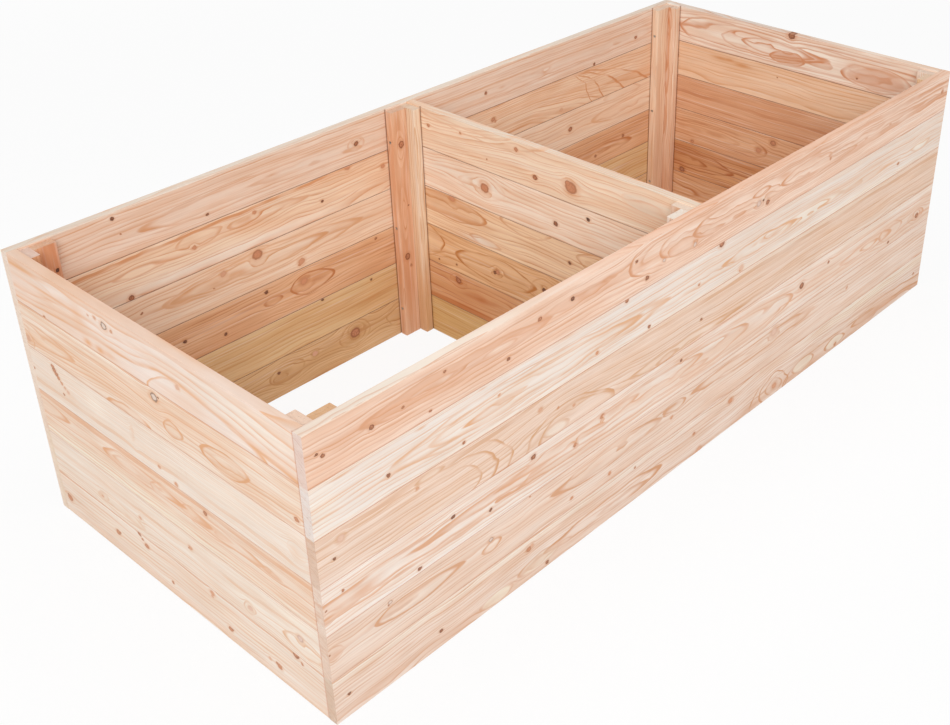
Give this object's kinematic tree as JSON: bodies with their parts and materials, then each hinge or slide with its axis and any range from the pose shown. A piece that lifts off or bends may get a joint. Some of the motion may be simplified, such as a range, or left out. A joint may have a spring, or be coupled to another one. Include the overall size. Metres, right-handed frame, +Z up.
{
  "type": "raised garden bed",
  "caption": "Open-bottomed rectangular raised garden bed in raw softwood boards, split into two planting bays by a cross divider.",
  "frame": {"origin": "on the ground, under the middle of the bed's outer box", "axes": "+X along the long walls from the left end to the right, +Y from the front wall to the back wall, +Z up"},
  "size_m": [2, 0.875, 0.6],
  "materials": {
    "board_timber": "raw planed softwood, eased edges",
    "batten_timber": "raw planed softwood, eased edges",
    "screw_steel": "bare stainless"
  },
  "bodies": {
    "root": {"front_wall_board_1": "board_timber", "front_wall_board_2": "board_timber", "front_wall_board_3": "board_timber", "front_wall_board_4": "board_timber", "front_wall_board_5": "board_timber", "front_wall_board_6": "board_timber", "back_wall_board_1": "board_timber", "back_wall_board_2": "board_timber", "back_wall_board_3": "board_timber", "back_wall_board_4": "board_timber", "back_wall_board_5": "board_timber", "back_wall_board_6": "board_timber", "left_end_board_1": "board_timber", "left_end_board_2": "board_timber", "left_end_board_3": "board_timber", "left_end_board_4": "board_timber", "left_end_board_5": "board_timber", "left_end_board_6": "board_timber", "right_end_board_1": "board_timber", "right_end_board_2": "board_timber", "right_end_board_3": "board_timber", "right_end_board_4": "board_timber", "right_end_board_5": "board_timber", "right_end_board_6": "board_timber", "divider_board_1": "board_timber", "divider_board_2": "board_timber", "divider_board_3": "board_timber", "divider_board_4": "board_timber", "divider_board_5": "board_timber", "divider_board_6": "board_timber", "front_left_end_batten": "batten_timber", "front_left_wall_batten": "batten_timber", "front_right_end_batten": "batten_timber", "front_right_wall_batten": "batten_timber", "front_divider_batten": "batten_timber", "front_middle_wall_batten": "batten_timber", "back_left_end_batten": "batten_timber", "back_left_wall_batten": "batten_timber", "back_right_end_batten": "batten_timber", "back_right_wall_batten": "batten_timber", "back_divider_batten": "batten_timber", "back_middle_wall_batten": "batten_timber", "front_left_screw_1": "screw_steel", "front_left_screw_2": "screw_steel", "front_left_screw_3": "screw_steel", "front_right_screw_1": "screw_steel", "front_right_screw_2": "screw_steel", "front_right_screw_3": "screw_steel", "front_middle_screw_1": "screw_steel", "front_middle_screw_2": "screw_steel", "front_middle_screw_3": "screw_steel", "back_left_screw_1": "screw_steel", "back_left_screw_2": "screw_steel", "back_left_screw_3": "screw_steel", "back_right_screw_1": "screw_steel", "back_right_screw_2": "screw_steel", "back_right_screw_3": "screw_steel", "back_middle_screw_1": "screw_steel", "back_middle_screw_2": "screw_steel", "back_middle_screw_3": "screw_steel"}
  },
  "joints": []
}
